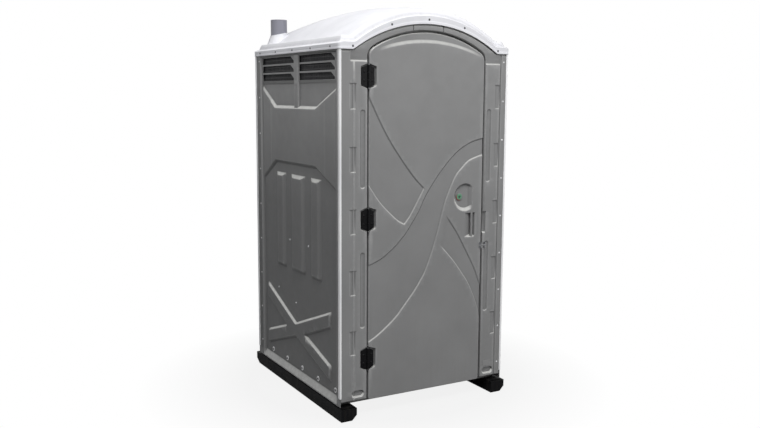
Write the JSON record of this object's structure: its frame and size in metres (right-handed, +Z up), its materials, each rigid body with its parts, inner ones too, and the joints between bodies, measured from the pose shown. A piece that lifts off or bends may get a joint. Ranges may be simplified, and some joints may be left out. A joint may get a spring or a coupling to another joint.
{
  "type": "portable toilet cabin",
  "caption": "Free-standing toilet cabin on skids: formed grey walls, vaulted white roof with vent pipe, hinged door with sliding latch, and tank, seat, urinal and paper holder inside.",
  "frame": {"origin": "on the ground, midway between the skids and midway between the front and the back", "axes": "-Y out of the door side, +X to the right of someone facing the door, +Z up"},
  "size_m": [1.135, 1.28, 2.333],
  "materials": {
    "grey_shell": "moulded, satin",
    "white_shell": "moulded, soft gloss",
    "black_plastic": "moulded, matte",
    "hinge_black": "moulded, satin",
    "steel": "plated",
    "white_rivet": "painted",
    "washer_white": "moulded",
    "pipe_grey": "extruded, satin",
    "screen_dark": "perforated sheet",
    "tank_grey": "moulded, satin",
    "seat_black": "moulded, soft gloss",
    "drain_grey": "extruded",
    "holder_grey": "moulded",
    "paper": "soft tissue",
    "latch_black": "moulded, satin",
    "indicator": "two-colour moulding",
    "plate": "blank plate"
  },
  "bodies": {
    "cabin": {"skid_left": "black_plastic", "skid_right": "black_plastic", "skid_bolts": "steel", "base_deck": "black_plastic", "wall_left": "grey_shell", "wall_right": "grey_shell", "wall_back": "grey_shell", "corner_post_front_left": "white_shell", "corner_post_back_left": "white_shell", "corner_post_front_right": "white_shell", "corner_post_back_right": "white_shell", "front_frame_left": "grey_shell", "front_frame_right": "grey_shell", "header_joint": "grey_shell", "roof": "white_shell", "vent_pipe": "pipe_grey", "vent_collar": "pipe_grey", "vent_screen_left": "screen_dark", "vent_screen_right": "screen_dark", "vent_screen_back": "screen_dark", "waste_tank": "tank_grey", "tank_cover": "tank_grey", "seat_hinge_pin": "steel", "urinal": "tank_grey", "urinal_drain": "drain_grey", "paper_bracket": "holder_grey", "hinge_frame_leaf_1": "hinge_black", "hinge_frame_leaf_2": "hinge_black", "hinge_frame_leaf_3": "hinge_black", "hinge_pin_1": "steel", "hinge_pin_2": "steel", "hinge_pin_3": "steel", "hinge_screws_frame": "steel", "latch_keeper": "latch_black", "padlock_tab_frame": "steel", "frame_rivets": "white_rivet", "wall_rivets": "white_rivet", "roof_screws": "steel", "wall_bolts": "steel", "wall_washers": "washer_white", "wall_fasteners": "steel", "blank_plate": "plate"},
    "door": {"door_outer_skin": "grey_shell", "door_inner_skin": "grey_shell", "pull_handle": "grey_shell", "coat_hook": "steel", "hinge_door_leaf_1": "hinge_black", "hinge_door_leaf_2": "hinge_black", "hinge_door_leaf_3": "hinge_black", "hinge_screws_door": "steel", "latch_housing": "latch_black", "padlock_tab_door": "steel"},
    "latch": {"latch_knob": "latch_black", "indicator_disc": "indicator"},
    "bolt": {"latch_bolt": "latch_black"},
    "seat": {"seat": "seat_black"},
    "lid": {"seat_lid": "seat_black"},
    "spindle": {"paper_spindle": "holder_grey"},
    "roll_front": {"paper_roll_front": "paper"},
    "roll_rear": {"paper_roll_rear": "paper"}
  },
  "joints": [
    {"name": "door_hinge", "type": "hinge", "parent": "cabin", "child": "door", "pos_m": [-0.3815, -0.611, 1.13], "axis": [0, 0, -1], "range_deg": [0, 110]},
    {"name": "latch_turn", "type": "hinge", "parent": "door", "child": "latch", "pos_m": [0.235, -0.56, 1.225], "axis": [0, 1, 0], "range_deg": [0, 90]},
    {"name": "bolt_slide", "type": "slide", "parent": "door", "child": "bolt", "axis": [1, 0, 0], "range_m": [0, 0.032]},
    {"name": "seat_hinge", "type": "hinge", "parent": "cabin", "child": "seat", "pos_m": [0, 0.492, 0.562], "axis": [-1, 0, 0], "range_deg": [0, 96]},
    {"name": "lid_hinge", "type": "hinge", "parent": "cabin", "child": "lid", "pos_m": [0, 0.492, 0.562], "axis": [-1, 0, 0], "range_deg": [-98, 0]},
    {"name": "spindle_spin", "type": "hinge", "parent": "cabin", "child": "spindle", "pos_m": [-0.4675, 0.05, 0.8], "axis": [0, 1, 0], "continuous": true},
    {"name": "front_roll_spin", "type": "hinge", "parent": "spindle", "child": "roll_front", "pos_m": [-0.4675, -0.007, 0.8], "axis": [0, 1, 0], "continuous": true},
    {"name": "rear_roll_spin", "type": "hinge", "parent": "spindle", "child": "roll_rear", "pos_m": [-0.4675, 0.107, 0.8], "axis": [0, 1, 0], "continuous": true}
  ],
  "couplings": [
    {"joint": "bolt_slide", "follows": "latch_turn", "m_per_rad": 0.02037}
  ]
}
